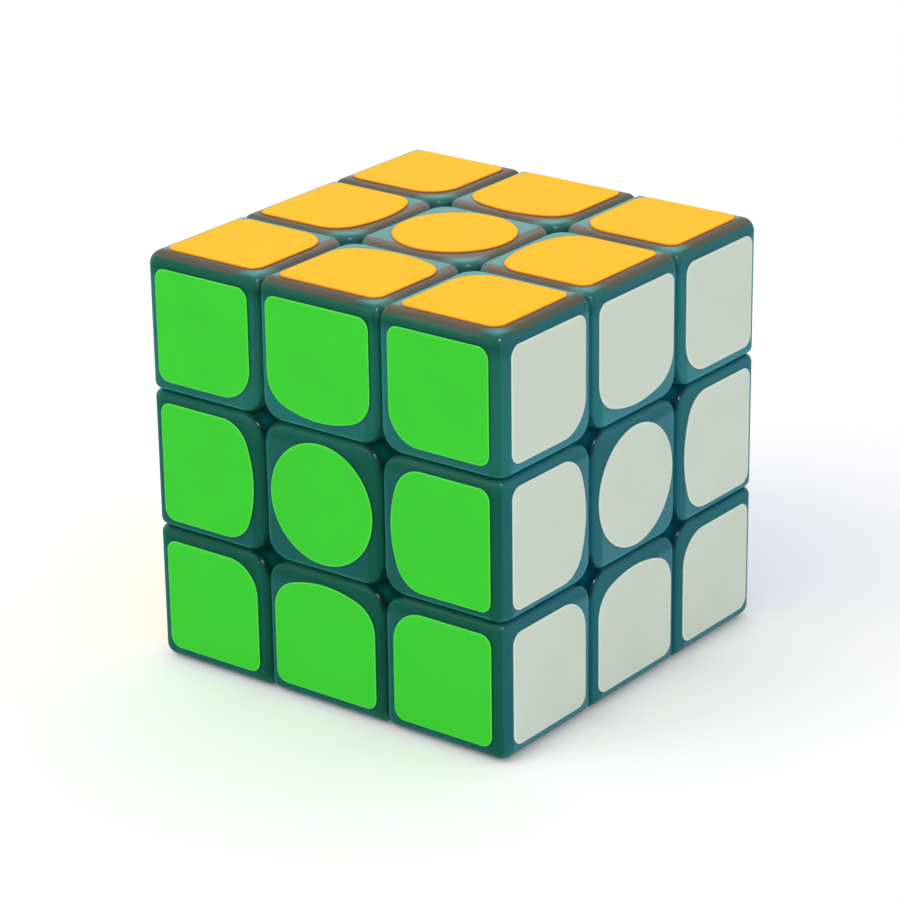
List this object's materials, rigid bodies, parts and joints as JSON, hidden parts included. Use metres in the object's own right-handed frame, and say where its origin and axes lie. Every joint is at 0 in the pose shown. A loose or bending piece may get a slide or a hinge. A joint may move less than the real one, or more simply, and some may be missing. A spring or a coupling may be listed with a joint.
{
  "type": "twisty puzzle cube",
  "caption": "Twisty puzzle cube with translucent teal pieces, coloured stickers and turning faces held on a sprung core.",
  "frame": {"origin": "crossing point of the three turning axes, at the middle of the cube", "axes": "+Z out of the top (orange) face, -Y out of the front (green) face, +X out of the right (white) face"},
  "size_m": [0.057, 0.057, 0.057],
  "materials": {
    "teal_plastic": "translucent dark teal ABS, polished mould finish",
    "core_plastic": "black moulded nylon",
    "steel": "zinc plated",
    "sticker_orange": "satin vinyl",
    "sticker_green": "satin vinyl",
    "sticker_white": "satin vinyl, faint green tint",
    "sticker_red": "satin vinyl",
    "sticker_blue": "satin vinyl",
    "sticker_yellow": "satin vinyl"
  },
  "bodies": {
    "core_assembly": {"core": "core_plastic", "tension_screws": "steel", "washers": "steel", "springs": "steel"},
    "centre_right": {"centre_right": "teal_plastic", "centre_right_sticker": "sticker_white"},
    "centre_left": {"centre_left": "teal_plastic", "centre_left_sticker": "sticker_yellow"},
    "centre_back": {"centre_back": "teal_plastic", "centre_back_sticker": "sticker_blue"},
    "centre_front": {"centre_front": "teal_plastic", "centre_front_sticker": "sticker_green"},
    "centre_top": {"centre_top": "teal_plastic", "centre_top_sticker": "sticker_orange"},
    "centre_bottom": {"centre_bottom": "teal_plastic", "centre_bottom_sticker": "sticker_red"},
    "edge_top_front": {"edge_top_front": "teal_plastic", "edge_top_front_stickers": "sticker_orange"},
    "edge_top_back": {"edge_top_back": "teal_plastic", "edge_top_back_stickers": "sticker_orange"},
    "edge_top_right": {"edge_top_right": "teal_plastic", "edge_top_right_stickers": "sticker_orange"},
    "edge_top_left": {"edge_top_left": "teal_plastic", "edge_top_left_stickers": "sticker_orange"},
    "edge_bottom_front": {"edge_bottom_front": "teal_plastic", "edge_bottom_front_stickers": "sticker_red"},
    "edge_bottom_back": {"edge_bottom_back": "teal_plastic", "edge_bottom_back_stickers": "sticker_red"},
    "edge_bottom_right": {"edge_bottom_right": "teal_plastic", "edge_bottom_right_stickers": "sticker_red"},
    "edge_bottom_left": {"edge_bottom_left": "teal_plastic", "edge_bottom_left_stickers": "sticker_red"},
    "edge_front_right": {"edge_front_right": "teal_plastic", "edge_front_right_stickers": "sticker_green"},
    "edge_front_left": {"edge_front_left": "teal_plastic", "edge_front_left_stickers": "sticker_green"},
    "edge_back_right": {"edge_back_right": "teal_plastic", "edge_back_right_stickers": "sticker_blue"},
    "edge_back_left": {"edge_back_left": "teal_plastic", "edge_back_left_stickers": "sticker_blue"},
    "corner_top_front_right": {"corner_top_front_right": "teal_plastic", "corner_top_front_right_stickers": "sticker_orange"},
    "corner_top_front_left": {"corner_top_front_left": "teal_plastic", "corner_top_front_left_stickers": "sticker_orange"},
    "corner_top_back_right": {"corner_top_back_right": "teal_plastic", "corner_top_back_right_stickers": "sticker_orange"},
    "corner_top_back_left": {"corner_top_back_left": "teal_plastic", "corner_top_back_left_stickers": "sticker_orange"},
    "corner_bottom_front_right": {"corner_bottom_front_right": "teal_plastic", "corner_bottom_front_right_stickers": "sticker_red"},
    "corner_bottom_front_left": {"corner_bottom_front_left": "teal_plastic", "corner_bottom_front_left_stickers": "sticker_red"},
    "corner_bottom_back_right": {"corner_bottom_back_right": "teal_plastic", "corner_bottom_back_right_stickers": "sticker_red"},
    "corner_bottom_back_left": {"corner_bottom_back_left": "teal_plastic", "corner_bottom_back_left_stickers": "sticker_red"}
  },
  "joints": [
    {"name": "right_turn", "type": "hinge", "parent": "core_assembly", "child": "centre_right", "pos_m": [0, 0, 0], "axis": [1, 0, 0], "continuous": true},
    {"name": "left_turn", "type": "hinge", "parent": "core_assembly", "child": "centre_left", "pos_m": [0, 0, 0], "axis": [-1, 0, 0], "continuous": true},
    {"name": "back_turn", "type": "hinge", "parent": "core_assembly", "child": "centre_back", "pos_m": [0, 0, 0], "axis": [0, 1, 0], "continuous": true},
    {"name": "front_turn", "type": "hinge", "parent": "core_assembly", "child": "centre_front", "pos_m": [0, 0, 0], "axis": [0, -1, 0], "continuous": true},
    {"name": "top_turn", "type": "hinge", "parent": "core_assembly", "child": "centre_top", "pos_m": [0, 0, 0], "axis": [0, 0, 1], "continuous": true},
    {"name": "bottom_turn", "type": "hinge", "parent": "core_assembly", "child": "centre_bottom", "pos_m": [0, 0, 0], "axis": [0, 0, -1], "continuous": true},
    {"name": "edge_top_front_turn", "type": "hinge", "parent": "centre_front", "child": "edge_top_front", "pos_m": [0, 0, 0], "axis": [0, 0, 1], "continuous": true},
    {"name": "edge_top_back_turn", "type": "hinge", "parent": "centre_back", "child": "edge_top_back", "pos_m": [0, 0, 0], "axis": [0, 0, 1], "continuous": true},
    {"name": "edge_top_right_turn", "type": "hinge", "parent": "centre_top", "child": "edge_top_right", "pos_m": [0, 0, 0], "axis": [1, 0, 0], "continuous": true},
    {"name": "edge_top_left_turn", "type": "hinge", "parent": "centre_top", "child": "edge_top_left", "pos_m": [0, 0, 0], "axis": [-1, 0, 0], "continuous": true},
    {"name": "edge_bottom_front_turn", "type": "hinge", "parent": "centre_front", "child": "edge_bottom_front", "pos_m": [0, 0, 0], "axis": [0, 0, -1], "continuous": true},
    {"name": "edge_bottom_back_turn", "type": "hinge", "parent": "centre_back", "child": "edge_bottom_back", "pos_m": [0, 0, 0], "axis": [0, 0, -1], "continuous": true},
    {"name": "edge_bottom_right_turn", "type": "hinge", "parent": "centre_bottom", "child": "edge_bottom_right", "pos_m": [0, 0, 0], "axis": [1, 0, 0], "continuous": true},
    {"name": "edge_bottom_left_turn", "type": "hinge", "parent": "centre_bottom", "child": "edge_bottom_left", "pos_m": [0, 0, 0], "axis": [-1, 0, 0], "continuous": true},
    {"name": "edge_front_right_turn", "type": "hinge", "parent": "centre_right", "child": "edge_front_right", "pos_m": [0, 0, 0], "axis": [0, -1, 0], "continuous": true},
    {"name": "edge_front_left_turn", "type": "hinge", "parent": "centre_left", "child": "edge_front_left", "pos_m": [0, 0, 0], "axis": [0, -1, 0], "continuous": true},
    {"name": "edge_back_right_turn", "type": "hinge", "parent": "centre_right", "child": "edge_back_right", "pos_m": [0, 0, 0], "axis": [0, 1, 0], "continuous": true},
    {"name": "edge_back_left_turn", "type": "hinge", "parent": "centre_left", "child": "edge_back_left", "pos_m": [0, 0, 0], "axis": [0, 1, 0], "continuous": true},
    {"name": "corner_top_front_right_turn", "type": "hinge", "parent": "edge_front_right", "child": "corner_top_front_right", "pos_m": [0, 0, 0], "axis": [0, 0, 1], "continuous": true},
    {"name": "corner_top_front_left_turn", "type": "hinge", "parent": "edge_front_left", "child": "corner_top_front_left", "pos_m": [0, 0, 0], "axis": [0, 0, 1], "continuous": true},
    {"name": "corner_top_back_right_turn", "type": "hinge", "parent": "edge_back_right", "child": "corner_top_back_right", "pos_m": [0, 0, 0], "axis": [0, 0, 1], "continuous": true},
    {"name": "corner_top_back_left_turn", "type": "hinge", "parent": "edge_back_left", "child": "corner_top_back_left", "pos_m": [0, 0, 0], "axis": [0, 0, 1], "continuous": true},
    {"name": "corner_bottom_front_right_turn", "type": "hinge", "parent": "edge_front_right", "child": "corner_bottom_front_right", "pos_m": [0, 0, 0], "axis": [0, 0, -1], "continuous": true},
    {"name": "corner_bottom_front_left_turn", "type": "hinge", "parent": "edge_front_left", "child": "corner_bottom_front_left", "pos_m": [0, 0, 0], "axis": [0, 0, -1], "continuous": true},
    {"name": "corner_bottom_back_right_turn", "type": "hinge", "parent": "edge_back_right", "child": "corner_bottom_back_right", "pos_m": [0, 0, 0], "axis": [0, 0, -1], "continuous": true},
    {"name": "corner_bottom_back_left_turn", "type": "hinge", "parent": "edge_back_left", "child": "corner_bottom_back_left", "pos_m": [0, 0, 0], "axis": [0, 0, -1], "continuous": true}
  ],
  "couplings": [
    {"joint": "edge_top_front_turn", "follows": "top_turn", "ratio": 1},
    {"joint": "edge_top_back_turn", "follows": "top_turn", "ratio": 1},
    {"joint": "edge_top_right_turn", "follows": "right_turn", "ratio": 1},
    {"joint": "edge_top_left_turn", "follows": "left_turn", "ratio": 1},
    {"joint": "edge_bottom_front_turn", "follows": "bottom_turn", "ratio": 1},
    {"joint": "edge_bottom_back_turn", "follows": "bottom_turn", "ratio": 1},
    {"joint": "edge_bottom_right_turn", "follows": "right_turn", "ratio": 1},
    {"joint": "edge_bottom_left_turn", "follows": "left_turn", "ratio": 1},
    {"joint": "edge_front_right_turn", "follows": "front_turn", "ratio": 1},
    {"joint": "edge_front_left_turn", "follows": "front_turn", "ratio": 1},
    {"joint": "edge_back_right_turn", "follows": "back_turn", "ratio": 1},
    {"joint": "edge_back_left_turn", "follows": "back_turn", "ratio": 1},
    {"joint": "corner_top_front_right_turn", "follows": "top_turn", "ratio": 1},
    {"joint": "corner_top_front_left_turn", "follows": "top_turn", "ratio": 1},
    {"joint": "corner_top_back_right_turn", "follows": "top_turn", "ratio": 1},
    {"joint": "corner_top_back_left_turn", "follows": "top_turn", "ratio": 1},
    {"joint": "corner_bottom_front_right_turn", "follows": "bottom_turn", "ratio": 1},
    {"joint": "corner_bottom_front_left_turn", "follows": "bottom_turn", "ratio": 1},
    {"joint": "corner_bottom_back_right_turn", "follows": "bottom_turn", "ratio": 1},
    {"joint": "corner_bottom_back_left_turn", "follows": "bottom_turn", "ratio": 1}
  ]
}
